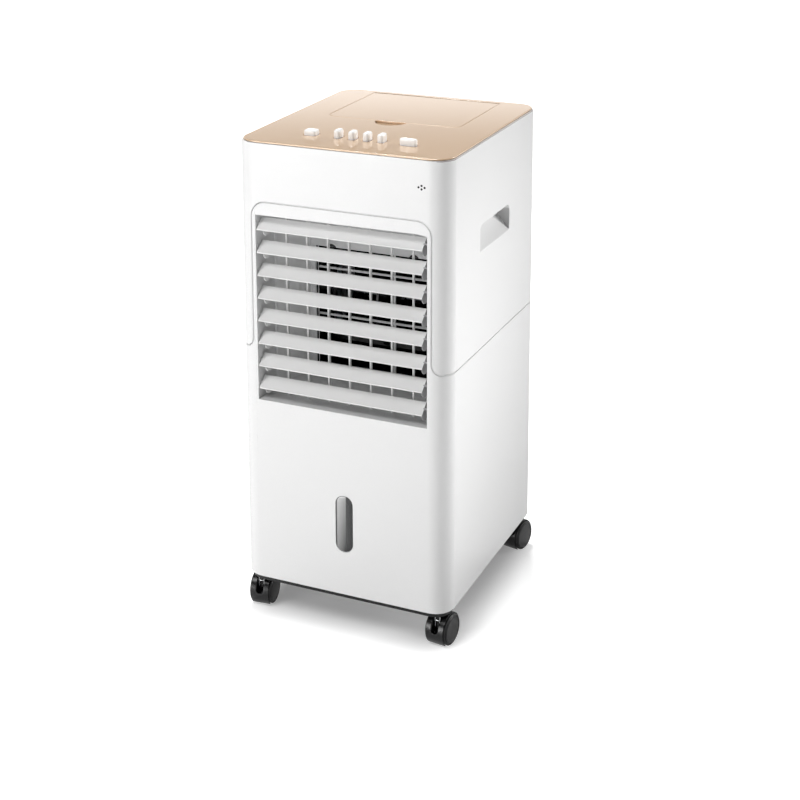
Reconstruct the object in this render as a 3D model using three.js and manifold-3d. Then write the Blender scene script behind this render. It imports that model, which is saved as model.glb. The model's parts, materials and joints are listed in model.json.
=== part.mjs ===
// Portable evaporative air cooler on four twin-wheel casters.
// Millimetres, +Z up, front face towards -Y, left is -X. The origin is on the floor under the
// middle of the whole object, cord included.
import * as THREE from 'three';
import { mergeVertices } from 'three/addons/utils/BufferGeometryUtils.js';
import Module from 'manifold-3d';

const wasm = await Module();
wasm.setup();

// ---------------------------------------------------------------- shared dimensions
const WIDTH = 280;
const DEPTH = 322.6;
const HEIGHT = 570;            // cabinet underside to the joint under the top plate
const CLEARANCE = 48;          // floor to cabinet underside
const SHIFT = -12.8;           // cabinet centre in Y; the cord hangs behind it
const CORNER_R = 26;           // upright cabinet corners
const CORNER_SEG = 6;
const WALL = 3;
const GAP = 0.6;               // visible joint between mouldings
const FRONT_CUT = [-170, -150];   // Y span of a cutter through the front wall
const REAR_CUT = [150, 170];      // Y span of a cutter through the rear wall

// Places shared by neighbouring pieces, [x, z] on a wall or [x, y] in plan
const LAMPS = [105.9, 537.8];
const DRAIN = [60, 28];
const CORD_EXIT = [-70, 120];
const HOOK = [-30, 150];
const PUMP = [-96, 108];
const FLOAT = [3, -137];
const DRAIN_HOLE_R = 7.8;

const OPEN_X = 113;            // louvre opening, half width
const OPEN_Z = [241, 480.2];
const OUTLET_X = 79;           // blower outlet, half width
const OUTLET_Y = -62;
const OUTLET_Z = [256, 418];
const FAN_Y = 15;
const FAN_Z = 337;
const STEM_X = 122.3;          // caster stems, either side
const STEM_Y = [-143, 129];    // front, rear

// ---------------------------------------------------------------- solids
const rad = (degrees) => degrees * Math.PI / 180;
const series = (count, make) => Array.from({ length: count }, (_, i) => make(i));

// Closed manifold from a geometry: welded, without degenerate triangles, wound outwards
function solid(geometry) {
  const loose = geometry.index ? geometry.toNonIndexed() : geometry.clone();
  for (const key of Object.keys(loose.attributes)) {
    if (key !== 'position') loose.deleteAttribute(key);
  }
  const welded = mergeVertices(loose, 1e-4);
  const p = welded.attributes.position.array;
  const index = welded.index.array;
  const tris = [];
  for (let i = 0; i < index.length; i += 3) {
    const [a, b, c] = index.slice(i, i + 3);
    if (a !== b && b !== c && a !== c) tris.push(a, b, c);
  }
  let volume = 0;
  for (let i = 0; i < tris.length; i += 3) {
    const [a, b, c] = tris.slice(i, i + 3).map((v) => v * 3);
    volume += p[a] * (p[b + 1] * p[c + 2] - p[b + 2] * p[c + 1])
      - p[a + 1] * (p[b] * p[c + 2] - p[b + 2] * p[c])
      + p[a + 2] * (p[b] * p[c + 1] - p[b + 1] * p[c]);
  }
  if (volume < 0) {
    for (let i = 0; i < tris.length; i += 3) {
      [tris[i + 1], tris[i + 2]] = [tris[i + 2], tris[i + 1]];
    }
  }
  return new wasm.Manifold(new wasm.Mesh({
    numProp: 3,
    vertProperties: new Float32Array(p),
    triVerts: new Uint32Array(tris),
  }));
}
const union = (...parts) => parts.reduce((a, b) => a.add(b));
const cut = (base, ...tools) => tools.reduce((a, b) => a.subtract(b), base);
const mirrorX = (part) => part.mirror([1, 0, 0]);

const box = (x0, x1, y0, y1, z0, z1) => solid(new THREE.BoxGeometry(x1 - x0, y1 - y0, z1 - z0)
  .translate((x0 + x1) / 2, (y0 + y1) / 2, (z0 + z1) / 2));
const symBox = (halfX, ...rest) => box(-halfX, halfX, ...rest);

// Round rods along one axis
const rod = (r, from, to, seg) =>
  new THREE.CylinderGeometry(r, r, to - from, seg).translate(0, (from + to) / 2, 0);
const rodX = (r, x0, x1, y, z, seg) =>
  solid(rod(r, x0, x1, seg).rotateZ(-Math.PI / 2).translate(0, y, z));
const rodY = (r, y0, y1, x, z, seg) => solid(rod(r, y0, y1, seg).translate(x, 0, z));
const rodZ = (r, z0, z1, x, y, seg) =>
  solid(rod(r, z0, z1, seg).rotateX(Math.PI / 2).translate(x, y, 0));

// Prisms along one axis; the shape is drawn in (y, z), (x, z) or (x, y)
const extrude = (shape, depth, curveSegments) =>
  new THREE.ExtrudeGeometry(shape, { depth, bevelEnabled: false, curveSegments });
const XY_TO_YZ = new THREE.Matrix4().set(0, 0, 1, 0, 1, 0, 0, 0, 0, 1, 0, 0, 0, 0, 0, 1);
const prismX = (shape, x0, x1, seg) =>
  solid(extrude(shape, x1 - x0, seg).applyMatrix4(XY_TO_YZ).translate(x0, 0, 0));
const prismY = (shape, y0, y1, seg) =>
  solid(extrude(shape, y1 - y0, seg).rotateX(Math.PI / 2).translate(0, y1, 0));
const prismZ = (shape, z0, z1, seg) => solid(extrude(shape, z1 - z0, seg).translate(0, 0, z0));

const polygon = (...points) => new THREE.Shape(points.map((p) => new THREE.Vector2(...p)));

// Rectangle with one corner radius, or [low-left, low-right, high-right, high-left]
function roundRect(x0, x1, y0, y1, radius) {
  const [a, b, c, d] = Array.isArray(radius) ? radius : [radius, radius, radius, radius];
  const s = new THREE.Shape();
  s.moveTo(x0 + a, y0);
  s.lineTo(x1 - b, y0);
  if (b) s.absarc(x1 - b, y0 + b, b, -Math.PI / 2, 0, false);
  s.lineTo(x1, y1 - c);
  if (c) s.absarc(x1 - c, y1 - c, c, 0, Math.PI / 2, false);
  s.lineTo(x0 + d, y1);
  if (d) s.absarc(x0 + d, y1 - d, d, Math.PI / 2, Math.PI, false);
  s.lineTo(x0, y0 + a);
  if (a) s.absarc(x0 + a, y0 + a, a, Math.PI, 1.5 * Math.PI, false);
  return s;
}
const symRect = (halfX, y0, y1, radius) => roundRect(-halfX, halfX, y0, y1, radius);
const insetRect = (halfX, y0, y1, radius, inset) =>
  symRect(halfX - inset, y0 + inset, y1 - inset, radius - inset);
const outline = (inset) => insetRect(WIDTH / 2, -DEPTH / 2, DEPTH / 2, CORNER_R, inset);

// Straight-sided strip along x with half-round ends
function stadium(length, thickness) {
  const s = new THREE.Shape();
  const r = thickness / 2;
  const end = length / 2 - r;
  s.moveTo(-end, -r);
  s.lineTo(end, -r);
  s.absarc(end, 0, r, -Math.PI / 2, Math.PI / 2, false);
  s.lineTo(-end, r);
  s.absarc(-end, 0, r, Math.PI / 2, 1.5 * Math.PI, false);
  return s;
}

// Four-sided taper between two rectangles [x0, x1, z0, z1] standing across Y
function taperY(yA, rectA, yB, rectB) {
  const corners = ([x0, x1, z0, z1], y) => [x0, y, z0, x1, y, z0, x1, y, z1, x0, y, z1];
  const g = new THREE.BufferGeometry();
  const points = [...corners(rectA, yA), ...corners(rectB, yB)];
  g.setAttribute('position', new THREE.Float32BufferAttribute(points, 3));
  g.setIndex([
    0, 1, 2, 0, 2, 3, 4, 6, 5, 4, 7, 6, 0, 5, 1, 0, 4, 5,
    1, 6, 2, 1, 5, 6, 2, 7, 3, 2, 6, 7, 3, 4, 0, 3, 7, 4,
  ]);
  return solid(g);
}

// Round tube on a smooth path through the points
function tube(points, radius, steps) {
  const vectors = points.map((p) => new THREE.Vector3(...p));
  const extrudePath = new THREE.CatmullRomCurve3(vectors, false, 'centripetal');
  const section = new THREE.Shape();
  section.absarc(0, 0, radius, 0, 2 * Math.PI, false);
  return solid(new THREE.ExtrudeGeometry(section, {
    steps, extrudePath, curveSegments: 3, bevelEnabled: false,
  }));
}

// ---------------------------------------------------------------- meshes
const MATERIALS = {   // colour, roughness, metalness
  white: [0xeeeeec, 0.35, 0],
  grey: [0xd4d5d6, 0.45, 0],
  gold: [0xdbbfa2, 0.28, 0.35],
  black: [0x141416, 0.45, 0],
  darkgrey: [0x3a3b3e, 0.5, 0],
  rubber: [0x1b1b1c, 0.7, 0],
  steel: [0xb8bbbe, 0.35, 0.9],
  tank: [0xdfe6e8, 0.4, 0],
  clear: [0xe8f0f2, 0.1, 0],
  pad: [0x8a6a45, 0.9, 0],
  mesh: [0x55585c, 0.8, 0],
  orange: [0xd8642a, 0.5, 0],
};

function geometryOf(part) {
  const { vertProperties, numProp, triVerts } = part.getMesh();
  const count = vertProperties.length / numProp;
  const positions = new Float32Array(count * 3);
  for (let i = 0; i < count; i++) {
    for (let k = 0; k < 3; k++) positions[i * 3 + k] = vertProperties[i * numProp + k];
  }
  const g = new THREE.BufferGeometry();
  g.setAttribute('position', new THREE.BufferAttribute(positions, 3));
  g.setIndex(new THREE.BufferAttribute(new Uint32Array(triVerts), 1));
  g.computeVertexNormals();
  return g;
}
function place(parent, name, materialName, geometry) {
  const [color, roughness, metalness] = MATERIALS[materialName];
  const material = new THREE.MeshStandardMaterial({ color, roughness, metalness });
  const mesh = new THREE.Mesh(geometry, material);
  mesh.name = name;
  parent.add(mesh);
  return mesh;
}
const root = new THREE.Group();
const body = new THREE.Group();   // drawn from the centre of the cabinet's underside
body.position.set(0, SHIFT, CLEARANCE);
root.add(body);
const add = (name, materialName, part) => place(body, name, materialName, geometryOf(part));

// ---------------------------------------------------------------- cabinet
const SEAM = 308;              // height of the joint between lower housing and upper shell
const TONGUE = { halfX: 118.5, top: 497, cornerR: 19, footR: 14 };   // front panel above it

// Part of the cabinet that belongs to the lower housing, grown by a margin
function lowerRegion(margin) {
  const side = 150;            // beyond the cabinet walls
  const grow = margin - GAP / 2;
  const seam = SEAM + grow;
  const x = TONGUE.halfX + grow;
  const top = TONGUE.top + grow;
  const foot = TONGUE.footR - margin;
  const corner = TONGUE.cornerR + margin;
  const s = new THREE.Shape();
  s.moveTo(-side, -1);
  s.lineTo(side, -1);
  s.lineTo(side, seam);
  s.lineTo(x + foot, seam);
  s.absarc(x + foot, seam + foot, foot, -Math.PI / 2, Math.PI, true);
  s.lineTo(x, top - corner);
  s.absarc(x - corner, top - corner, corner, 0, Math.PI / 2, false);
  s.lineTo(-x + corner, top);
  s.absarc(-x + corner, top - corner, corner, Math.PI / 2, Math.PI, false);
  s.lineTo(-x, seam + foot);
  s.absarc(-x - foot, seam + foot, foot, 0, -Math.PI / 2, true);
  s.lineTo(-side, seam);
  s.closePath();
  return union(prismY(s, -170, -100, 5), symBox(side, -101, 170, -1, seam));
}

// Upright slot shape of the level window
const windowShape = (halfX, halfZ) =>
  roundRect(FLOAT[0] - halfX, FLOAT[0] + halfX, 95.6 - halfZ, 95.6 + halfZ, halfX);
const stemHoles = [-STEM_X, STEM_X].flatMap((x) =>
  STEM_Y.map((y) => rodZ(5.5, -8, 9, x, y, 10)));

const tub = cut(prismZ(outline(0), 0, 520, CORNER_SEG),
  prismZ(outline(WALL), WALL, 521, CORNER_SEG));
add('lower_housing', 'white', cut(
  tub.intersect(lowerRegion(0)),
  symBox(OPEN_X, ...FRONT_CUT, ...OPEN_Z),
  prismY(windowShape(11.6, 37.5), ...FRONT_CUT, 4),
  rodY(DRAIN_HOLE_R, ...REAR_CUT, ...DRAIN, 12),
  rodY(4.6, ...REAR_CUT, ...CORD_EXIT, 8),
  rodY(3.3, ...REAR_CUT, ...HOOK, 8),
  ...stemHoles));

// Sloped pocket moulded into the right side wall; the left one mirrors it
const pocketWall = prismY(
  polygon([139, 430.3], [109.5, 463], [109.5, 469.5], [139, 469.5]), -58.5, 52.5);
const pocketHole = prismY(polygon([141, 431.9], [112, 464], [112, 467], [141, 467]), -56, 50)
  .intersect(prismX(roundRect(-56, 50, 430, 467, [0, 0, 9, 9]), 100, 142, 4));

// Four lamps in a diamond, offsets [x, z]
const lamps = (radius, y0, y1) => [[3.8, 0], [-3.8, 0], [0, 2.1], [0, -2.1]]
  .map(([x, z]) => rodY(radius, y0, y1, LAMPS[0] + x, LAMPS[1] + z, 6));

add('upper_shell', 'white', cut(
  union(
    cut(prismZ(outline(0), SEAM - 2, HEIGHT, CORNER_SEG),
      prismZ(outline(WALL), SEAM - 3, HEIGHT + 1, CORNER_SEG)),
    pocketWall, mirrorX(pocketWall)),
  pocketHole, mirrorX(pocketHole), lowerRegion(GAP),
  prismY(symRect(108, 324.4, 548, [1.6, 1.6, 7, 7]), ...REAR_CUT, 4),   // door opening
  ...lamps(1.1, ...FRONT_CUT)));

const LENS_Y = [-157.9, -155.9];   // lens plates behind the front wall
add('indicator_lens', 'black', union(
  box(LAMPS[0] - 6.5, LAMPS[0] + 6.5, ...LENS_Y, LAMPS[1] - 4.8, LAMPS[1] + 4.8),
  ...lamps(0.75, -161.2, -157)));
add('level_window', 'clear', union(
  prismY(windowShape(11.2, 37.1), -160.9, -157, 4),
  prismY(windowShape(13.5, 39.6), ...LENS_Y, 3)));
add('base_plate', 'black', cut(
  union(prismZ(outline(5), -6, -0.3, 5), prismZ(symRect(80, -95, 85, 8), -7.2, -5.9, 2)),
  ...stemHoles));

// ---------------------------------------------------------------- top plate, lid and keys
const PLATE_BOTTOM = HEIGHT + GAP;
const PLATE_TOP = 572.4;
const LID_X = 90.1;            // half width
const LID_Y = [-2.6, 146];
const LID_PIN = [LID_Y[1], 569.4];   // hinge axis, [y, z]
const KEY_X = 2;               // middle of the four speed keys
const KEY_PITCH = 19.2;
const KEY_BEVEL = 2.6;
const KEYS = [   // name, x, y, width, depth, height above the plate
  ...['off', 'low', 'mid', 'high'].map((speed, i) =>
    [`speed_key_${speed}`, KEY_X + (i - 1.5) * KEY_PITCH, -103, 8, 15, 10.2]),
  ['swing_key', -63.5, -102.8, 16, 14, 6.6],
  ['cool_key', 67.5, -108.4, 22, 7, 8.8],
];
const keyRect = ([, x, y, width, depth], grow, radius) => roundRect(
  x - width / 2 - grow, x + width / 2 + grow, y - depth / 2 - grow, y + depth / 2 + grow, radius);

// Front half of an ellipse, the flat side at y
function halfEllipse(radiusX, y) {
  const s = new THREE.Shape();
  s.moveTo(-radiusX, y);
  s.absellipse(0, y, radiusX, 21.5, Math.PI, 2 * Math.PI, false);
  return s;
}
const scoop = halfEllipse(21, -3.2);   // hollow in front of the lid
scoop.lineTo(21, 2);
scoop.lineTo(-21, 2);

const lidOpening = prismZ(
  symRect(LID_X + 0.5, LID_Y[0] - 0.6, 149.4, [11.5, 11.5, 0, 0]), 560, 575, 4);
const hingeBore = (halfX) => rodX(1.45, -halfX, halfX, ...LID_PIN, 8);
const plate = cut(
  union(prismZ(outline(2), PLATE_BOTTOM, PLATE_TOP, CORNER_SEG),
    prismZ(outline(4.6), 568.4, PLATE_BOTTOM + 0.1, 4)),
  lidOpening);
const plateRim = cut(prismZ(outline(4.6), 560, 568.5, 4), prismZ(outline(6.8), 559, 569, 4));
const lidWell = cut(prismZ(symRect(93.8, -6.4, 152.4, [14, 14, 0, 0]), 562, 571, 4), lidOpening);
const lidLedge = cut(prismZ(symRect(91.5, -4.2, 141, [11, 11, 0, 0]), 566.6, 569.2, 4),
  prismZ(symRect(86.5, 1, 142, [8, 8, 0, 0]), 560, 575, 2));
add('top_plate', 'gold', cut(
  union(plate, plateRim, lidWell, lidLedge,
    prismZ(halfEllipse(23.5, -6), 566.6, 568.6, 5),   // scoop floor
    ...[-75.5, 83].map((x) => rodZ(3.5, 556.4, 568.6, x, -102, 8))),   // bosses
  prismZ(scoop, 569.6, 575, 6).subtract(lidOpening),
  hingeBore(95.6),
  ...KEYS.map((key) => prismZ(keyRect(key, 0.5, 2.2), 560, 575, 1))));

const lidRim = cut(prismZ(symRect(85.5, 2, 138, 8), 563.5, 569.8, 2),
  prismZ(symRect(83.5, 4, 136, 6), 563, 569.6, 2));
add('fill_lid', 'gold', cut(
  union(prismZ(symRect(LID_X, ...LID_Y, [11, 11, 0, 0]), 569.6, PLATE_TOP, 5), lidRim,
    rodX(3, -LID_X, LID_X, ...LID_PIN, 16)),
  hingeBore(95)));
add('lid_hinge_pin', 'steel', rodX(1, -95, 95, ...LID_PIN, 8));

// Key: a bevelled cap starting 2 below the plate top, on a plain shank
for (const key of KEYS) {
  const height = key[5];
  const cap = new THREE.ExtrudeGeometry(keyRect(key, -KEY_BEVEL, 0.8), {
    depth: height + 2 - 2 * KEY_BEVEL,
    bevelEnabled: true,
    bevelSize: KEY_BEVEL,
    bevelThickness: KEY_BEVEL,
    bevelSegments: 2,
    curveSegments: 1,
  }).translate(0, 0, PLATE_TOP - 2 + KEY_BEVEL);
  const shankTop = PLATE_TOP + height - KEY_BEVEL - 0.4;
  add(key[0], 'white', union(solid(cap), prismZ(keyRect(key, 0, 1.6), 560, shankTop, 1)));
}
add('switch_box', 'darkgrey',
  union(box(-79, 87, -121, -87, 532, 556), box(-70, 78, -118, -90, 528, 533)));

// ---------------------------------------------------------------- duct, louvres and vanes
const BLADE_Y = -153;
const BLADE_Z = series(8, (i) => 466.9 - i * 29.3);   // pivots, top to bottom
const BLADE_X = [-111.8, 106.5];
const CHORD = 20;
const TILT = rad(37.5);
const LINK_R = 8.5;            // blade pivot to link pin
const VANE_Y = -133;
const VANE_X = series(7, (i) => (i - 3) * 28.1);      // pivots, left to right
const VANE_Z = [244, 477];
const VANE_YAW = rad(20);
const VANE_PIN = 6.5;          // vane pivot to link pin

// Rectangles [x0, x1, z0, z1]
const OPENING = [-OPEN_X, OPEN_X, ...OPEN_Z];
const THROAT = [-85, 85, 250, 447];
const grown = ([x0, x1, z0, z1], by) => [x0 - by, x1 + by, z0 - by, z1 + by];
const OUTLET_WALL = [OUTLET_Y - 4, OUTLET_Y + 1];     // Y span of cutters through the duct end

const pivotHoles = [
  ...BLADE_Z.flatMap((z) => [[-120, -110], [110, 120]].map((x) => rodX(1.9, ...x, BLADE_Y, z, 6))),
  ...VANE_X.flatMap((x) => [[230, 243], [478, 490]].map((z) => rodZ(1.9, ...z, x, VANE_Y, 6))),
];
add('air_duct', 'grey', cut(
  union(symBox(OPEN_X + 3, -158, -112, OPEN_Z[0] - 3, OPEN_Z[1] + 3),
    taperY(-112.2, grown(OPENING, 3), OUTLET_Y - 0.4, grown(THROAT, 3))),
  symBox(OPEN_X, -160, -112, ...OPEN_Z),
  taperY(-112.3, grown(OPENING, -3.5), OUTLET_Y - 3, THROAT),
  symBox(OUTLET_X, ...OUTLET_WALL, ...OUTLET_Z),
  ...[-56.3, 56.3].map((x) => rodY(7.4, ...OUTLET_WALL, x, 414.9, 16)),
  ...pivotHoles));

// Rectangular frame with three level bars and one upright
const BAR_Y = [OUTLET_Y + 4, OUTLET_Y + 6.4];
const guardBox = (inset, y0, y1) =>
  symBox(OUTLET_X - inset, y0, y1, OUTLET_Z[0] + inset, OUTLET_Z[1] - inset);
add('outlet_guard', 'grey', union(
  cut(guardBox(0.5, OUTLET_Y + 3, OUTLET_Y + 8), guardBox(1.7, OUTLET_Y, OUTLET_Y + 12)),
  ...[388, 325.6, 263.2].map((z) => symBox(OUTLET_X - 1, ...BAR_Y, z - 1.2, z + 1.2)),
  box(26.2, 28.2, ...BAR_Y, OUTLET_Z[0] + 1, OUTLET_Z[1] - 1)));

// Louvre blade about its own pivot, chord along y before it is tilted
function louvreBlade() {
  const untilt = (y, z) => [
    y * Math.cos(TILT) + z * Math.sin(TILT),
    z * Math.cos(TILT) - y * Math.sin(TILT),
  ];
  const ear = (x0, x1) =>
    cut(rodX(10.6, x0, x1, ...untilt(3.6, -4.6), 12), symBox(200, -30, 30, 0.3, 30));
  return union(
    prismX(stadium(CHORD, 1.8), ...BLADE_X, 2),
    rodX(1.25, ...BLADE_X, -CHORD / 2 + 1.25, -0.35, 10),   // thicker nose
    ear(-104.1, -102.9), ear(105, BLADE_X[1]),
    rodX(1.5, -115.4, -104.4, 0, 0, 6), rodX(1.5, 105.5, 115.4, 0, 0, 6),
    rodX(1.1, 105.4, 111.2, ...untilt(LINK_R, 0), 6));      // link pin
}
const bladeGeometry = geometryOf(louvreBlade());
BLADE_Z.forEach((z, i) => {
  const blade = place(body, `louvre_blade_${i + 1}`, 'white', bladeGeometry);
  blade.position.set(0, BLADE_Y, z);
  blade.rotation.x = TILT;
});
const bladeLinkY = BLADE_Y + LINK_R;
const bladeLinkShape = roundRect(
  bladeLinkY - 2.6, bladeLinkY + 2.6, BLADE_Z.at(-1) - 4, BLADE_Z[0] + 4, 2);
add('louvre_link', 'white', cut(
  prismX(bladeLinkShape, 107.9, 109.9, 1),
  ...BLADE_Z.map((z) => rodX(1.6, 106, 112, bladeLinkY, z, 6))));

// Upright vane about its own pivot, depth along y before it is turned
const vaneGeometry = geometryOf(union(
  prismZ(stadium(16, 2.4), ...VANE_Z, 2).rotate([0, 0, 90]),
  rodZ(1.3, 238.7, VANE_Z[0] + 0.5, 0, 0, 6),
  rodZ(1.3, VANE_Z[1] - 0.5, 482.6, 0, 0, 6),
  rodZ(0.85, 241.5, VANE_Z[0] + 0.5, 0, VANE_PIN, 6)));
VANE_X.forEach((x, i) => {
  const vane = place(body, `swing_vane_${i + 1}`, 'white', vaneGeometry);
  vane.position.set(x, VANE_Y, 0);
  vane.rotation.z = VANE_YAW;
});
const pinX = -VANE_PIN * Math.sin(VANE_YAW);
const pinY = VANE_Y + VANE_PIN * Math.cos(VANE_YAW);
add('vane_link', 'white', cut(
  prismZ(roundRect(pinX - 88.5, pinX + 88.5, pinY - 2.4, pinY + 2.4, 2), 241.7, 243.6, 1),
  ...VANE_X.map((x) => rodZ(1.3, 240, 245, x + pinX, pinY, 6))));

// Can, shaft, drilled flange and two blocks on it
const motorBlock = box(13.5, 17, VANE_Y - 3, VANE_Y + 3, 234, 237.7);
add('swing_motor', 'steel', union(
  rodZ(14, 219, 233.6, 0, VANE_Y, 16),
  rodZ(2.6, 233, 237.7, 0, VANE_Y, 6),
  cut(prismZ(symRect(22, VANE_Y - 5, VANE_Y + 5, 4), 233, 235, 2),
    ...[-18, 18].map((x) => rodZ(1.8, 230, 240, x, VANE_Y, 6))),
  mirrorX(motorBlock), motorBlock));

// ---------------------------------------------------------------- blower
// Mouth to the front, wheel on a shaft across the cabinet, motor on the right
const FAN_R = 68;
const SCROLL_R = 83;
const SCROLL_WALL = 2.5;

function scrollShape(inset) {
  const s = new THREE.Shape();
  const r = SCROLL_R - inset;
  s.moveTo(OUTLET_Y, FAN_Z - r);
  s.lineTo(FAN_Y, FAN_Z - r);
  s.absarc(FAN_Y, FAN_Z, r, -Math.PI / 2, Math.PI / 2, false);
  s.lineTo(OUTLET_Y, FAN_Z + r);
  s.closePath();
  return s;
}
const scrollSide = OUTLET_X + SCROLL_WALL;
const mouthFlange = cut(symBox(86.5, OUTLET_Y, OUTLET_Y + SCROLL_WALL, 249, 447.5),
  symBox(80, -100, 0, 254, 420));
add('blower_scroll', 'darkgrey', cut(
  union(prismX(scrollShape(0), -scrollSide, scrollSide, 12), mouthFlange),
  union(prismX(scrollShape(SCROLL_WALL), -OUTLET_X, OUTLET_X, 12),
    symBox(OUTLET_X, OUTLET_Y - 2, OUTLET_Y + 5, 256.5, 417.5)),
  rodX(46, -90, 90, FAN_Y, FAN_Z, 20)));   // side inlets

const aroundFan = (geometry, angle) =>
  solid(geometry.rotateX(angle).translate(0, FAN_Y, FAN_Z));
const ring = (x0, x1, outerR, innerR, innerSeg) => cut(
  rodX(outerR, x0, x1, FAN_Y, FAN_Z, 20),
  rodX(innerR, x0 - 1, x1 + 1, FAN_Y, FAN_Z, innerSeg));
const fanBlades = series(12, (i) => aroundFan(
  new THREE.BoxGeometry(136, 11, 1.6).rotateX(rad(28)).translate(0, FAN_R - 6, 0),
  i * Math.PI / 6));
add('blower_wheel', 'black', union(
  ring(-70, -67, FAN_R, FAN_R - 12, 20),
  ring(67, 70, FAN_R, FAN_R - 12, 20),
  ring(-1.5, 1.5, FAN_R - 0.5, 4.3, 10),   // middle disc
  ring(-14, 14, 10, 4.3, 10),              // hub
  ...fanBlades));
add('fan_shaft', 'steel', rodX(4, -72, 96, FAN_Y, FAN_Z, 10));
const motorArms = [90, 210, 330].flatMap((angle) => [
  aroundFan(new THREE.BoxGeometry(5, 12, 12).translate(84.3, 54, 0), rad(angle)),
  aroundFan(new THREE.BoxGeometry(3, 34, 9).translate(87.2, 41, 0), rad(angle)),
]);
add('fan_motor', 'steel', cut(
  union(rodX(33, 86, 122, FAN_Y, FAN_Z, 20), ...motorArms),
  rodX(4.4, 80, 98, FAN_Y, FAN_Z, 10)));

// ---------------------------------------------------------------- water side
const TANK_WALL = 2.5;
const tankShape = (inset) => insetRect(133, -152, 152, 20, inset);
add('water_tank', 'tank', union(
  cut(prismZ(tankShape(0), 10, 203, 4),
    prismZ(tankShape(TANK_WALL), 10 + TANK_WALL, 204, 4),
    rodY(DRAIN_HOLE_R, 140, 156, ...DRAIN, 12)),
  symBox(100, -90, -84, 3.3, 10.5),   // ribs underneath
  symBox(100, 84, 90, 3.3, 10.5),
  rodZ(2, 12, 190, ...FLOAT, 6)));    // float guide
add('level_float', 'orange', cut(rodZ(9, 88, 102, ...FLOAT, 14), rodZ(2.6, 80, 110, ...FLOAT, 6)));
add('pump_body', 'black', union(
  rodZ(19, 12.8, 52, ...PUMP, 14), rodZ(14, 51, 58, ...PUMP, 10), rodZ(3.4, 57, 70, ...PUMP, 8)));

const HOSE_PATH = [   // x, y, z from the pump up to the distributor
  [...PUMP, 72], [-98, 107, 100], [-116, 100, 150], [-122, 98, 220], [-122, 98, 380],
  [-122, 98, 500], [-121, 101, 536], [-114, 112, 556], [-103, 126, 560],
  [-95.5, 133, 556.5], [-94.5, 134.5, 546.5],
];
add('water_hose', 'tank', tube(HOSE_PATH, 3.6, 26));

// Drilled trough with a tab at each end
add('water_distributor', 'grey', cut(
  union(prismZ(symRect(104, 118, 150, 4), 541, 553, 2),
    box(-136.3, -103, 128, 138, 549.5, 552), box(103, 136.3, 128, 138, 549.5, 552)),
  prismZ(symRect(102, 120, 148, 3), 543, 555, 2),
  ...series(7, (i) => rodZ(1.5, 538, 545, (i - 3) * 27, 134, 5))));

// Hopper under the lid, with a spout on the left into a pipe down to the tank
const chuteShape = (inset) => insetRect(84, 10, 108, 8, inset);
add('fill_chute', 'grey', cut(
  union(prismZ(chuteShape(0), 492, 561.6, 3), box(-112, -80, 72, 98, 492, 512),
    rodZ(12, 206, 500, -98, 85, 12), symBox(89, 30, 80, 559, 561.6)),
  prismZ(chuteShape(2), 494, 563, 3), box(-110, -80, 74, 96, 494, 510),
  rodZ(10.2, 200, 500, -98, 85, 12)));

// ---------------------------------------------------------------- rear face
// Slotted door panel with an open frame in front of it for the filter and pad
const grilleSlots = series(13, (i) => 340 + i * 15).flatMap((z) =>
  [[-97, -2], [2, 97]].map((x) => box(...x, ...REAR_CUT, z, z + 10)));
add('rear_grille', 'white', cut(
  union(prismY(symRect(107.3, 325.6, 547.2, [1, 1, 6, 6]), 157.6, 161.2, 3),
    cut(symBox(107, 116.4, 158, 328, 533.6), symBox(105, 115, 157.6, 330, 531.6))),
  ...grilleSlots,
  prismY(symRect(16, 535.5, 543.5, 3), 159.4, 170, 3)));   // shallow recess near the top
const insert = (y0, y1) => symBox(104.2, y0, y1, 330.8, 530.8);
add('dust_filter', 'mesh', insert(153.4, 156.8));
add('cooling_pad', 'pad', insert(117, 152.6));

add('drain_plug', 'white', union(
  rodY(7, 148, 162.5, ...DRAIN, 12), rodY(11.5, 161.9, 167, ...DRAIN, 16),
  box(DRAIN[0] - 1.8, DRAIN[0] + 1.8, 166.5, 170.5, DRAIN[1] - 9, DRAIN[1] + 9)));
const hookBox = (halfX, ...rest) => box(HOOK[0] - halfX, HOOK[0] + halfX, ...rest);
add('cord_hook', 'white', union(
  rodY(2.8, 154, 162, ...HOOK, 8), hookBox(5, 161.7, 164, 142, 158),
  hookBox(3, 163, 182, 154.4, 157.4), hookBox(3, 179.6, 182, 154.4, 166)));

const CORD_PATH = [   // x, y, z from the wall down, up over the hook and into the plug
  [-70, 154.5, 120], [-70, 164, 120], [-70, 170, 114], [-70, 171.5, 104],
  [-70, 171.5, 80], [-64, 171.5, 62], [-50, 171.5, 54], [-36, 171.5, 62],
  [-28, 171.5, 84], [-21, 171.5, 120], [-20.5, 171.5, 148], [-23, 171.5, 159.5],
  [-30, 171.5, 164], [-38, 171.5, 160], [-43.5, 172.5, 145], [-45, 175, 128],
];
const PLUG = [-45, 175];       // x, y
add('power_cord', 'black', union(
  tube(CORD_PATH, 3.2, 32),
  rodY(5.6, 161.8, 166, ...CORD_EXIT, 10),
  rodZ(12.5, 96, 118, ...PLUG, 14),
  rodZ(5.5, 116, 130, ...PLUG, 8),
  ...[-5.5, 5.5].map((x) => rodZ(2.2, 80, 97, PLUG[0] + x, PLUG[1], 6))));

// ---------------------------------------------------------------- casters
const TRAIL = 8;               // stem to axle
const WHEEL_R = 19.5;
const WHEEL_SEG = 18;
const CASTER_YAW = { front_left: 6, front_right: -8, rear_left: 6, rear_right: -14 };

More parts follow.
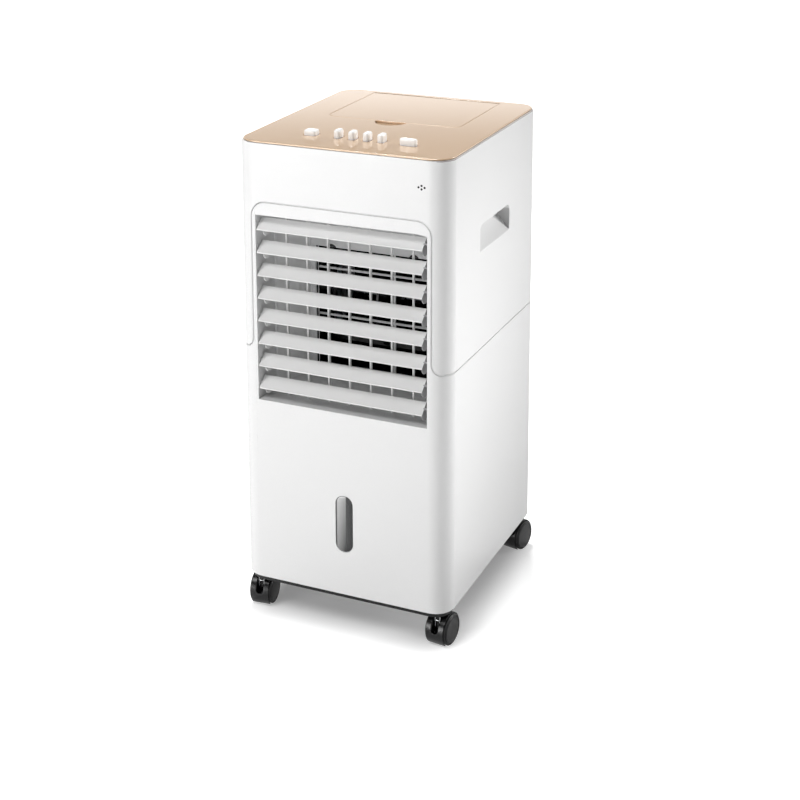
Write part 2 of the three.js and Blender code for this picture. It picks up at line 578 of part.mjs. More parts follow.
// Both wheels and their axle, turned about X and set so that a flat of the rim is on the floor
function wheelPair() {
  const halfStep = 180 / WHEEL_SEG;
  const rim = WHEEL_R / Math.cos(rad(halfStep));
  const side = [[12.5, rim], [13.6, 17.6], [15, 13], [15.6, 0]];   // x, radius
  const profile = [
    ...side.map(([x, r]) => [-x, r]).reverse(),
    [-5.2, rim], [-5.2, 2.5], [5.2, 2.5], [5.2, rim],
    ...side,
  ].map(([x, r]) => new THREE.Vector2(r, x));
  return solid(new THREE.LatheGeometry(profile, WHEEL_SEG).rotateZ(-Math.PI / 2))
    .rotate([halfStep, 0, 0]);
}
// Hood round the wheels, with a slot in front that shows the stem and its collar
function yoke() {
  const hood = new THREE.Shape();
  hood.absarc(0, 0, 21.4, rad(-50), rad(232), false);
  hood.absarc(0, 0, 20.3, rad(232), rad(-50), true);
  hood.closePath();
  return union(
    cut(union(prismX(hood, -12, 12, 9), rodX(16.5, -4.4, 4.4, 0, 0, 12),
      symBox(4.4, -13, 14, 4, 20.8)),
    symBox(5.2, -25, -7, 4.8, 30), rodY(5.2, -25, -7, 0, 4.8, 10),   // slot
    rodX(3, -20, 20, 0, 0, 8)),                                      // axle bore
    rodZ(4.1, 4.5, 21, 0, -TRAIL, 12),
    rodZ(4.9, 20.6, 36, 0, -TRAIL, 12),
    rodZ(4.9, 13.4, 15.6, 0, -TRAIL, 12));
}
const yokeGeometry = geometryOf(yoke());
const wheelGeometry = geometryOf(wheelPair());
for (const [side, x] of [['left', -STEM_X], ['right', STEM_X]]) {
  ['front', 'rear'].forEach((end, k) => {
    const key = `${end}_${side}`;
    const yaw = rad(CASTER_YAW[key]);
    const caster = new THREE.Group();
    caster.position.set(
      x - TRAIL * Math.sin(yaw), STEM_Y[k] + TRAIL * Math.cos(yaw) + SHIFT, WHEEL_R);
    caster.rotation.z = yaw;
    root.add(caster);
    place(caster, `caster_yoke_${key}`, 'black', yokeGeometry);
    place(caster, `caster_wheels_${key}`, 'rubber', wheelGeometry);
  });
}

export default root;
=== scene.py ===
import json
import math

import bmesh
import bpy
import numpy as np
from mathutils import Matrix, Vector


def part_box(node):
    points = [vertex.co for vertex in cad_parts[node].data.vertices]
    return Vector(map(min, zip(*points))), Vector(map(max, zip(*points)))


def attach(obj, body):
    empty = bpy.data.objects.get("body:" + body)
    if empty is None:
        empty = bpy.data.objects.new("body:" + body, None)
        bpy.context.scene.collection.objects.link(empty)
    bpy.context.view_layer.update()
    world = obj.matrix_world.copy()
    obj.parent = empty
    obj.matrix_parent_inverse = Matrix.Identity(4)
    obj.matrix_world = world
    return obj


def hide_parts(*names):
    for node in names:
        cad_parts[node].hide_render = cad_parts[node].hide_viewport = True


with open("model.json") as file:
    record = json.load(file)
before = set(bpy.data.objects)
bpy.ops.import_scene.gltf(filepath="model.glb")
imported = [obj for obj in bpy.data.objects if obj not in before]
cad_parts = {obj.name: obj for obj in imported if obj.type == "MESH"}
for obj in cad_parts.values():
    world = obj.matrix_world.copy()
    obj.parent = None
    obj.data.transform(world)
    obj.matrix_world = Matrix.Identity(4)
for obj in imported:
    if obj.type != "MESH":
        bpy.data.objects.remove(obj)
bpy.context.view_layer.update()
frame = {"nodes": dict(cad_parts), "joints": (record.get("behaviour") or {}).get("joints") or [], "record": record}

NODES = frame["nodes"]
BODY = {n: b for b, ns in frame["record"]["behaviour"]["bodies"].items() for n in ns}
SLOT = {s["node"]: s["material_slot"] for s in frame["record"]["subparts"]}
JOINT = {j["name"]: j for j in frame["joints"]}
_lo, _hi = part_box("lower_housing")
CY, ZB = (_lo.y + _hi.y) / 2, _lo.z          # centre of the cabinet's plan and its underside
HX, HY = (_hi.x - _lo.x) / 2, (_hi.y - _lo.y) / 2


def P(x, y, z):
    """millimetres from the centre of the cabinet's underside -> frame metres"""
    return Vector((x / 1000, y / 1000 + CY, z / 1000 + ZB))


def mm(v):
    return ((v.x) * 1000, (v.y - CY) * 1000, (v.z - ZB) * 1000)


# ---------------------------------------------------------------- materials
def _new(name):
    m = bpy.data.materials.new(name)
    m.use_nodes = True
    nt = m.node_tree
    nt.nodes.clear()
    out = nt.nodes.new("ShaderNodeOutputMaterial")
    bsdf = nt.nodes.new("ShaderNodeBsdfPrincipled")
    nt.links.new(bsdf.outputs[0], out.inputs[0])
    tc = nt.nodes.new("ShaderNodeTexCoord")
    return m, nt, bsdf, tc


def plastic(name, color, rough=0.3, metal=0.0, coat=0.0, coat_rough=0.08, spec=0.5, grain=1400, bump=0.02,
            tone=0.015, tone_scale=9, rough_var=0.06, sheen=0.0, subsurface=0.0, depth=0.00004, speck=None, alpha=1.0, painted_glow=0.0):
    """moulded plastic: slow tone drift, fine surface texture in bump and roughness"""
    m, nt, b, tc = _new(name)
    N, L = nt.nodes, nt.links
    drift = N.new("ShaderNodeTexNoise")
    drift.inputs["Scale"].default_value = tone_scale
    drift.inputs["Detail"].default_value = 4
    L.new(tc.outputs["Object"], drift.inputs["Vector"])
    ramp = N.new("ShaderNodeMix")
    ramp.data_type = "RGBA"
    lo = [max(0, c * (1 - tone)) for c in color[:3]] + [1]
    hi = [min(1, c * (1 + tone)) for c in color[:3]] + [1]
    ramp.inputs["A"].default_value, ramp.inputs["B"].default_value = lo, hi
    L.new(drift.outputs["Fac"], ramp.inputs["Factor"])
    col = ramp.outputs["Result"]
    if speck:
        sp = N.new("ShaderNodeTexNoise")
        sp.inputs["Scale"].default_value = speck[0]
        sp.inputs["Detail"].default_value = 2
        L.new(tc.outputs["Object"], sp.inputs["Vector"])
        mr = N.new("ShaderNodeMapRange")
        mr.inputs["From Min"].default_value, mr.inputs["From Max"].default_value = 0.5, 0.75
        L.new(sp.outputs["Fac"], mr.inputs["Value"])
        mx = N.new("ShaderNodeMix")
        mx.data_type = "RGBA"
        mx.inputs["B"].default_value = [*speck[1], 1]
        L.new(col, mx.inputs["A"])
        L.new(mr.outputs[0], mx.inputs["Factor"])
        col = mx.outputs["Result"]
    L.new(col, b.inputs["Base Color"])
    fine = N.new("ShaderNodeTexNoise")
    fine.inputs["Scale"].default_value = grain
    fine.inputs["Detail"].default_value = 3
    L.new(tc.outputs["Object"], fine.inputs["Vector"])
    bp = N.new("ShaderNodeBump")
    bp.inputs["Strength"].default_value = bump
    bp.inputs["Distance"].default_value = depth
    L.new(fine.outputs["Fac"], bp.inputs["Height"])
    L.new(bp.outputs["Normal"], b.inputs["Normal"])
    rv = N.new("ShaderNodeMapRange")
    rv.inputs["To Min"].default_value, rv.inputs["To Max"].default_value = max(0.02, rough - rough_var), min(1, rough + rough_var)
    L.new(drift.outputs["Fac"], rv.inputs["Value"])
    L.new(rv.outputs[0], b.inputs["Roughness"])
    b.inputs["Metallic"].default_value = metal
    b.inputs["Specular IOR Level"].default_value = spec
    b.inputs["Coat Weight"].default_value = coat
    b.inputs["Coat Roughness"].default_value = coat_rough
    b.inputs["Sheen Weight"].default_value = sheen
    b.inputs["Alpha"].default_value = alpha
    if painted_glow:                             # painted light: a white emission that brightens the surface though it is no lamp (joint walls and keys)
        b.inputs["Emission Color"].default_value = (1, 1, 1, 1)
        b.inputs["Emission Strength"].default_value = painted_glow
    if subsurface:
        b.inputs["Subsurface Weight"].default_value = subsurface
        b.inputs["Subsurface Radius"].default_value = (1, 1, 1)
        b.inputs["Subsurface Scale"].default_value = 0.002
    return m


def brushed(name, color, axis=0, rough=0.32):
    m, nt, b, tc = _new(name)
    N, L = nt.nodes, nt.links
    mp = N.new("ShaderNodeMapping")
    s = [260, 260, 260]
    s[axis] = 9
    mp.inputs["Scale"].default_value = s
    L.new(tc.outputs["Object"], mp.inputs["Vector"])
    n = N.new("ShaderNodeTexNoise")
    n.inputs["Scale"].default_value = 6
    n.inputs["Detail"].default_value = 5
    L.new(mp.outputs[0], n.inputs["Vector"])
    mx = N.new("ShaderNodeMix")
    mx.data_type = "RGBA"
    mx.inputs["A"].default_value = [c * 0.82 for c in color] + [1]
    mx.inputs["B"].default_value = [min(1, c * 1.12) for c in color] + [1]
    L.new(n.outputs["Fac"], mx.inputs["Factor"])
    L.new(mx.outputs["Result"], b.inputs["Base Color"])
    r = N.new("ShaderNodeMapRange")
    r.inputs["To Min"].default_value, r.inputs["To Max"].default_value = rough - 0.1, rough + 0.12
    L.new(n.outputs["Fac"], r.inputs["Value"])
    L.new(r.outputs[0], b.inputs["Roughness"])
    bp = N.new("ShaderNodeBump")
    bp.inputs["Strength"].default_value = 0.15
    bp.inputs["Distance"].default_value = 0.00003
    L.new(n.outputs["Fac"], bp.inputs["Height"])
    L.new(bp.outputs["Normal"], b.inputs["Normal"])
    b.inputs["Metallic"].default_value = 1.0
    return m


def paper(name):
    """wet corrugated cellulose: fibres, darker damp patches"""
    m, nt, b, tc = _new(name)
    N, L = nt.nodes, nt.links
    damp = N.new("ShaderNodeTexNoise")
    damp.inputs["Scale"].default_value = 22
    damp.inputs["Detail"].default_value = 5
    L.new(tc.outputs["Object"], damp.inputs["Vector"])
    ramp = N.new("ShaderNodeValToRGB")
    ramp.color_ramp.elements[0].position, ramp.color_ramp.elements[0].color = 0.32, (0.20, 0.12, 0.055, 1)
    ramp.color_ramp.elements[1].position, ramp.color_ramp.elements[1].color = 0.68, (0.46, 0.31, 0.16, 1)
    L.new(damp.outputs["Fac"], ramp.inputs["Fac"])
    fib = N.new("ShaderNodeTexNoise")
    fib.inputs["Scale"].default_value = 900
    fib.inputs["Detail"].default_value = 6
    L.new(tc.outputs["Object"], fib.inputs["Vector"])
    mx = N.new("ShaderNodeMix")
    mx.data_type = "RGBA"
    mx.blend_type = "MULTIPLY"
    mx.inputs["Factor"].default_value = 0.5
    L.new(ramp.outputs["Color"], mx.inputs["A"])
    L.new(fib.outputs["Color"], mx.inputs["B"])
    L.new(mx.outputs["Result"], b.inputs["Base Color"])
    bp = N.new("ShaderNodeBump")
    bp.inputs["Strength"].default_value = 0.5
    bp.inputs["Distance"].default_value = 0.0001
    L.new(fib.outputs["Fac"], bp.inputs["Height"])
    L.new(bp.outputs["Normal"], b.inputs["Normal"])
    b.inputs["Roughness"].default_value = 0.85
    b.inputs["Sheen Weight"].default_value = 0.2
    return m


def woven(name, color):
    """knitted filter yarn: two crossing wave patterns"""
    m, nt, b, tc = _new(name)
    N, L = nt.nodes, nt.links
    h = []
    for d in ("X", "Z"):
        w = N.new("ShaderNodeTexWave")
        w.bands_direction = d
        w.inputs["Scale"].default_value = 520
        w.inputs["Distortion"].default_value = 1.5
        L.new(tc.outputs["Object"], w.inputs["Vector"])
        h.append(w)
    mul = N.new("ShaderNodeMath")
    mul.operation = "MULTIPLY"
    L.new(h[0].outputs["Fac"], mul.inputs[0])
    L.new(h[1].outputs["Fac"], mul.inputs[1])
    mx = N.new("ShaderNodeMix")
    mx.data_type = "RGBA"
    mx.inputs["A"].default_value = [c * 0.5 for c in color] + [1]
    mx.inputs["B"].default_value = [min(1, c * 1.3) for c in color] + [1]
    L.new(mul.outputs[0], mx.inputs["Factor"])
    L.new(mx.outputs["Result"], b.inputs["Base Color"])
    bp = N.new("ShaderNodeBump")
    bp.inputs["Strength"].default_value = 0.6
    bp.inputs["Distance"].default_value = 0.0002
    L.new(mul.outputs[0], bp.inputs["Height"])
    L.new(bp.outputs["Normal"], b.inputs["Normal"])
    b.inputs["Roughness"].default_value = 0.8
    b.inputs["Sheen Weight"].default_value = 0.3
    return m


M = {
    "white_shell": plastic("white_shell", (0.86, 0.86, 0.858), rough=0.27, coat=0.25, coat_rough=0.12, bump=0.05, grain=1100, tone=0.012, tone_scale=2400, rough_var=0.03),
    "white_moving": plastic("white_moving", (0.84, 0.84, 0.835), rough=0.38, bump=0.06, grain=1300, tone=0.012, tone_scale=2400, rough_var=0.03),
    # the keys carry painted light: an emission that brightens them
    "white_key": plastic("white_key", (0.92, 0.917, 0.91), rough=0.22, coat=0.3, bump=0.03, grain=1500, tone=0.012, tone_scale=2400, rough_var=0.03, painted_glow=0.10),
    "champagne_panel": plastic("champagne_panel", (0.66, 0.455, 0.285), rough=0.30, metal=0.1, coat=0.9, coat_rough=0.07, bump=0.06, grain=2200,
                               tone=0.02, tone_scale=2600, rough_var=0.03, speck=(5200, (0.80, 0.60, 0.42))),
    # the seam's chamfer gets a grey painted shade, the gap wall below it painted light from emission
    "joint_lip_painted_shade": plastic("joint_lip_painted_shade", (0.66, 0.66, 0.66), rough=0.45, bump=0.05, grain=1100, tone=0.012, tone_scale=2400, spec=0.2),
    "joint_wall_painted_light": plastic("joint_wall_painted_light", (0.80, 0.80, 0.80), rough=0.6, bump=0.05, grain=1100, tone=0.012, tone_scale=2400, spec=0.1, painted_glow=0.22),
    "ear_shade": plastic("ear_shade", (0.36, 0.36, 0.365), rough=0.5, bump=0.06, grain=1300, tone=0.02, tone_scale=2400, spec=0.2),
    # a dark plum painted shade for the joint under the deck on the right side
    "plum_line_painted_shade": plastic("plum_line_painted_shade", (0.16, 0.10, 0.095), rough=0.5, bump=0.06, grain=1500, tone=0.03, tone_scale=2400, spec=0.2),
    "pocket_shade": plastic("pocket_shade", (0.56, 0.56, 0.56), rough=0.45, bump=0.05, grain=1100, tone=0.012, tone_scale=2400, spec=0.3),
    # a brown painted shadow round the keys' slots
    "slot_rim_painted_shadow": plastic("slot_rim_painted_shadow", (0.36, 0.20, 0.105), rough=0.4, bump=0.06, grain=1500, tone=0.03, tone_scale=2400, spec=0.3),
    "joint_shade": plastic("joint_shade", (0.20, 0.095, 0.045), rough=0.6, bump=0.08, grain=900, tone=0.1, tone_scale=60, spec=0.2),
    "grey_plastic": plastic("grey_plastic", (0.78, 0.783, 0.785), rough=0.30, bump=0.08, grain=900, tone=0.02),
    "level_glass": plastic("level_glass", (0.25, 0.255, 0.26), rough=0.16, coat=0.8, coat_rough=0.04, bump=0.02, tone=0.05, tone_scale=40),
    "lamp_dark": plastic("lamp_dark", (0.006, 0.006, 0.0065), rough=0.55, spec=0.15, bump=0.05, grain=1500, tone=0.2),
    "black_plastic": plastic("black_plastic", (0.005, 0.005, 0.0055), rough=0.24, bump=0.10, grain=1600, tone=0.2, spec=0.45),
    "black_tread": plastic("black_tread", (0.010, 0.010, 0.0105), rough=0.36, bump=0.10, grain=1600, tone=0.2, spec=0.4),
    "bright_steel": brushed("bright_steel", (0.62, 0.63, 0.64)),
    "tank_plastic": plastic("tank_plastic", (0.72, 0.79, 0.82), rough=0.35, bump=0.06, tone=0.03, subsurface=0.2),
    "float_orange": plastic("float_orange", (0.70, 0.20, 0.05), rough=0.4, bump=0.1, tone=0.05),
    "filter_mesh": woven("filter_mesh", (0.10, 0.11, 0.12)),
    "wet_pad": paper("wet_pad"),
    "black_cord": plastic("black_cord", (0.014, 0.014, 0.015), rough=0.5, bump=0.15, grain=900, tone=0.2),
}
for n, o in NODES.items():
    o.data.materials.clear()
    o.data.materials.append(M[SLOT[n]])


# ---------------------------------------------------------------- mesh helpers
def finish_piece(bm, name, node, body=None, material=None, sharp=42, weighted=True, extra=()):
    bmesh.ops.recalc_face_normals(bm, faces=bm.faces)
    me = bpy.data.meshes.new(name)
    bm.to_mesh(me)
    bm.free()
    me.shade_smooth()
    me.set_sharp_from_angle(angle=math.radians(sharp))
    o = bpy.data.objects.new(name, me)
    bpy.context.scene.collection.objects.link(o)
    me.materials.append(material or M[SLOT[node]])
    for m in extra:
        me.materials.append(m)
    if weighted:
        w = o.modifiers.new("normals", "WEIGHTED_NORMAL")
        w.keep_sharp = True
        w.weight = 60
    if node:
        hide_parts(node)
    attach(o, body or BODY[node])
    return o


def cad_mesh(node, flat=0.15):
    bm = bmesh.new()
    bm.from_mesh(NODES[node].data)
    for layer in list(bm.loops.layers.float_vector):
        bm.loops.layers.float_vector.remove(layer)
    bmesh.ops.remove_doubles(bm, verts=bm.verts, dist=1e-6)
    bmesh.ops.dissolve_degenerate(bm, dist=1e-7, edges=bm.edges)
    bmesh.ops.dissolve_limit(bm, angle_limit=math.radians(flat), use_dissolve_boundaries=False, verts=bm.verts, edges=bm.edges, delimit=set())
    for co, no in (((0.0313, 0, 0), (1, 0, 0)), ((0, 0.0217, 0), (0, 1, 0))):      # long ring-shaped faces are cut in four
        big = [f for f in bm.faces if len(f.verts) > 60 or (len(f.verts) > 22 and f.calc_area() < 0.003 and f.calc_perimeter() > 0.8)]
        if big:
            bmesh.ops.bisect_plane(bm, geom=list({g for f in big for g in (f, *f.edges, *f.verts)}), dist=1e-7, plane_co=co, plane_no=no)
    bm.normal_update()
    return bm


def bevel(bm, pick, width, segments=3, least=28, profile=0.5, clamp=False, lip=0):
    """lip: material index given to the bevel, for the painted shade laid on a joint lip; the wall going inwards from it
    gets the next one
    """
    edges = [e for e in bm.edges if len(e.link_faces) == 2 and e.calc_face_angle(0) > math.radians(least) and pick(*[mm(v.co) for v in e.verts])]
    if edges:
        if lip:
            for f in {f for e in edges for f in e.link_faces if not all(on_skin(mm(v.co)) for v in f.verts)}:
                f.material_index = lip + 1
        made = bmesh.ops.bevel(bm, geom=edges, offset=width / 1000, offset_type="OFFSET", segments=segments, profile=profile, affect="EDGES", clamp_overlap=clamp)
        if lip:
            for f in made["faces"]:
                f.material_index = lip
        bm.normal_update()


def rr(x0, x1, y0, y1, r, n=6):
    """rounded rectangle, anticlockwise; r is one radius or [low-left, low-right, high-right, high-left]"""
    a, b, c, d = r if isinstance(r, (list, tuple)) else (r,) * 4
    out = []
    for cx, cy, rad, s in ((x1 - b, y0 + b, b, -90), (x1 - c, y1 - c, c, 0), (x0 + d, y1 - d, d, 90), (x0 + a, y0 + a, a, 180)):
        k = n if rad > 1e-6 else 0
        for i in range(k + 1):
            t = math.radians(s + 90 * i / max(k, 1))
            out.append((cx + rad * math.cos(t), cy + rad * math.sin(t)))
    return out


def loft(bm, rings, cap0=True, cap1=True):
    """rings: lists of frame points of equal length"""
    vs = [[bm.verts.new(p) for p in r] for r in rings]
    n = len(vs[0])
    for a, b in zip(vs, vs[1:]):
        for i in range(n):
            bm.faces.new((a[i], a[(i + 1) % n], b[(i + 1) % n], b[i]))
    if cap0:
        bm.faces.new(list(reversed(vs[0])))
    if cap1:
        bm.faces.new(vs[-1])
    return vs


def spin(bm, profile, n, to_frame, closed_profile=False):
    """profile of (along, radius) turned once; radius 0 ends are closed to a point"""
    rings = []
    for a, r in profile:
        if r < 1e-9:
            rings.append([bm.verts.new(to_frame(a, 0, 0))])
        else:
            rings.append([bm.verts.new(to_frame(a, r, 2 * math.pi * i / n)) for i in range(n)])
    pairs = list(zip(rings, rings[1:]))
    if closed_profile:
        pairs.append((rings[-1], rings[0]))
    for a, b in pairs:
        for i in range(n):
            j = (i + 1) % n
            if len(a) == 1 and len(b) == 1:
                continue
            if len(a) == 1:
                bm.faces.new((a[0], b[j], b[i]))
            elif len(b) == 1:
                bm.faces.new((a[i], a[j], b[0]))
            else:
                bm.faces.new((a[i], a[j], b[j], b[i]))


def tube(bm, pts, r, n=14):
    """round tube with capped ends along frame points"""
    t = [(pts[min(i + 1, len(pts) - 1)] - pts[max(i - 1, 0)]).normalized() for i in range(len(pts))]
    u = t[0].orthogonal().normalized()
    rings = []
    for i, p in enumerate(pts):
        if i:
            u = (u - t[i] * u.dot(t[i])).normalized()
        w = t[i].cross(u)
        rad = r(i / (len(pts) - 1)) if callable(r) else r
        rings.append([p + (u * math.cos(2 * math.pi * k / n) + w * math.sin(2 * math.pi * k / n)) * rad for k in range(n)])
    loft(bm, rings)


def catmull(points, steps):
    """centripetal Catmull-Rom through the points"""
    p = [Vector(q) for q in points]
    p = [p[0] * 2 - p[1]] + p + [p[-1] * 2 - p[-2]]
    out = []
    segs = len(p) - 3
    for s in range(steps + 1):
        f = s / steps * segs
        i = min(int(f), segs - 1)
        w = f - i
        a, b, c, d = p[i:i + 4]
        dt = [max((x - y).length ** 0.5, 1e-4) for x, y in ((a, b), (b, c), (c, d))]
        def nonuni(x0, x1, x2, x3):
            t1 = (x1 - x0) / dt[0] - (x2 - x0) / (dt[0] + dt[1]) + (x2 - x1) / dt[1]
            t2 = (x2 - x1) / dt[1] - (x3 - x1) / (dt[1] + dt[2]) + (x3 - x2) / dt[2]
            t1 *= dt[1]
            t2 *= dt[1]
            return x1 + t1 * w + (-3 * x1 + 3 * x2 - 2 * t1 - t2) * w * w + (2 * x1 - 2 * x2 + t1 + t2) * w * w * w
        out.append(P(*[nonuni(a[k], b[k], c[k], d[k]) for k in range(3)]))
    return out


# ---------------------------------------------------------------- the two mouldings
X, Y = HX * 1000, HY * 1000
HTOP = mm(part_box("upper_shell")[1])[2]


def on_skin(p, e=0.12):
    """is a point on the cabinet's outer skin"""
    x, y, _ = p
    r = 26
    dx, dy = max(abs(x) - (X - r), 0), max(abs(y) - (Y - r), 0)
    if dx > 0 and dy > 0:
        return abs(math.hypot(dx, dy) - r) < e + 0.1
    return abs(abs(x) - X) < e or abs(abs(y) - Y) < e


bm = cad_mesh("lower_housing")
bevel(bm, lambda a, b: on_skin(a) and on_skin(b) and a[2] < 0.01 and b[2] < 0.01, 2.2, 5)
# the seam's chamfer and gap wall: painted shade on the chamfer, painted light on the wall
bevel(bm, lambda a, b: on_skin(a) and on_skin(b) and min(a[2], b[2]) > 290, 0.9, 3, lip=1)
bevel(bm, lambda a, b: on_skin(a) and on_skin(b) and 50 < min(a[2], b[2]) < 140 and a[1] < -150 and abs(a[0] - 3) < 14, 0.5, 2)
finish_piece(bm, "housing_moulding", "lower_housing", extra=(M["joint_lip_painted_shade"], M["joint_wall_painted_light"]))

bm = cad_mesh("upper_shell")
bevel(bm, lambda a, b: on_skin(a) and on_skin(b) and max(a[2], b[2]) > HTOP - 0.01 and min(a[2], b[2]) > HTOP - 0.01, 0.7, 3, lip=3)
# the seams on the shell get the same painted shade on the chamfer and painted light on the wall
bevel(bm, lambda a, b: on_skin(a) and on_skin(b) and a[1] < -60 and b[1] < -60 and max(a[2], b[2]) < 520, 0.9, 3, lip=1)
bevel(bm, lambda a, b: on_skin(a) and on_skin(b) and abs(a[2] - b[2]) < 0.01 and a[2] < 320, 0.9, 3, lip=1)
bevel(bm, lambda a, b: on_skin(a) and on_skin(b) and 425 < min(a[2], b[2]) and max(a[2], b[2]) < 475 and abs(a[0]) > 139, 1.0, 3)
# only the top bevel's faces turned to the right keep the dark plum painted shade; the rest go back to white
for f in bm.faces:
    c = mm(f.calc_center_median())
    if f.material_index in (3, 4) and f.normal.x < 0.35:
        f.material_index = 0
    elif f.normal.y < -0.9 and abs(c[0]) < 139.5 and abs(c[0]) > 122 and 425 < c[2] < 475 and abs(c[1]) < 120:
        f.material_index = 5                 # the end wall of the finger pocket, darkened with a painted shade
finish_piece(bm, "shell_moulding", "upper_shell", extra=(M["joint_lip_painted_shade"], M["joint_wall_painted_light"], M["plum_line_painted_shade"], M["white_shell"], M["pocket_shade"]))

# ---------------------------------------------------------------- deck and lid
bm = cad_mesh("top_plate")
PT = mm(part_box("top_plate")[1])[2]
bevel(bm, lambda a, b: a[2] > PT - 0.01 and b[2] > PT - 0.01 and max(abs(a[0]), abs(b[0])) > 92, 0.9, 3)
# round the key slots the bevel gets a brown painted shadow and the slot walls a painted shade
bevel(bm, lambda a, b: a[2] > PT - 0.01 and b[2] > PT - 0.01 and max(a[1], b[1]) < -85 and max(abs(a[0]), abs(b[0])) <= 92, 0.65, 2, lip=2)
bevel(bm, lambda a, b: a[2] > PT - 0.01 and b[2] > PT - 0.01 and min(a[1], b[1]) > -85 and max(abs(a[0]), abs(b[0])) <= 92, 0.35, 2)
for f in bm.faces:                       # the wall behind the lid's hinge side, seen through the open joint line, is given a brown painted shade
    c = mm(f.calc_center_median())
    if f.material_index == 3 and abs(f.normal.z) > 0.5:
        f.material_index = 0
    if abs(f.normal.y) > 0.9 and abs(c[0]) < 91 and c[1] > 140:
        f.material_index = 1
finish_piece(bm, "deck_panel", "top_plate", extra=(M["joint_shade"], M["slot_rim_painted_shadow"], M["joint_shade"]))
bm = cad_mesh("fill_lid")
LID_BACK = mm(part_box("fill_lid")[1])[1]
bmesh.ops.bisect_plane(bm, geom=[*bm.faces, *bm.edges, *bm.verts], dist=1e-7, plane_co=P(0, LID_BACK - 1.8, 0), plane_no=(0, 1, 0))
for v in bm.verts:                       # the hinge side is chamfered, which opens the joint line there
    if mm(v.co)[1] > LID_BACK - 1.7 and mm(v.co)[2] > PT - 0.3:
        v.co.z -= 0.0012
bevel(bm, lambda a, b: a[2] > PT - 0.01 and b[2] > PT - 0.01 and min(a[1], b[1]) < LID_BACK - 1.85, 0.5, 2)
finish_piece(bm, "lid_panel", "fill_lid")


def key(node, crown=0.35):
    lo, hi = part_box(node)
    (x0, y0, z0), (x1, y1, z1) = mm(lo), mm(hi)
    r = min(2.9, (x1 - x0) / 2 - 0.6, (y1 - y0) / 2 - 0.6)
    bm = bmesh.new()
    rings = []
    h = min(2.6, z1 - z0)
    for z, i in ((z0, 0.0), (z0 + 1, 0.0), (z1 - h - 4.0, 0.0), (z1 - h - 1.5, 0.03)):
        rings.append([P(x, y, z) for x, y in rr(x0 + i, x1 - i, y0 + i, y1 - i, max(r - i, 0.3), 8)])
    for k in range(9):
        t = math.radians(90 * k / 8)
        i = h * 0.92 * (1 - math.cos(t)) + 0.03
        rings.append([P(x, y, z1 - crown - h + h * math.sin(t)) for x, y in rr(x0 + i, x1 - i, y0 + i, y1 - i, max(r - i * 0.8, 0.35), 8)])
    cx, cy = (x0 + x1) / 2, (y0 + y1) / 2
    last = rings[-1]
    for s, z in ((0.75, 0.55), (0.45, 0.85), (0.15, 0.99)):
        rings.append([Vector((P(cx, cy, 0).x + (p.x - P(cx, cy, 0).x) * s, P(cx, cy, 0).y + (p.y - P(cx, cy, 0).y) * s, P(0, 0, z1 - crown + crown * z).z)) for p in last])
    loft(bm, rings)
    finish_piece(bm, node + "_cap", node, weighted=False, sharp=60)


for n in ("speed_key_off", "speed_key_low", "speed_key_mid", "speed_key_high", "swing_key", "cool_key"):
    key(n)

# ---------------------------------------------------------------- slats and vanes
for i in range(1, 9):
    bm = cad_mesh(f"louvre_blade_{i}")
    for f in bm.faces:                   # the right-hand ear stands in the shade of the frame
        if mm(f.calc_center_median())[0] > 105.05:
            f.material_index = 1
    finish_piece(bm, f"slat_{i}", f"louvre_blade_{i}", sharp=50, extra=(M["ear_shade"],))
for i in range(1, 8):
    bm = cad_mesh(f"swing_vane_{i}")
    finish_piece(bm, f"vane_{i}", f"swing_vane_{i}", sharp=50)
bm = cad_mesh("air_duct")
finish_piece(bm, "duct", "air_duct", sharp=20)
bm = cad_mesh("outlet_guard")
for v in bm.verts:                       # the lowest bar lies close above the rim
    x, y, z = mm(v.co)
    if 261.5 < z < 265 and abs(x) < 78.1:
        v.co.z -= 0.0052
for f in bm.faces:
    c = mm(f.calc_center_median())
    f.material_index = 1 if abs(c[0]) > 76.8 or c[2] > 416 or c[2] < 258 else 0
finish_piece(bm, "guard_bars", "outlet_guard", sharp=30, extra=(M["black_plastic"],))

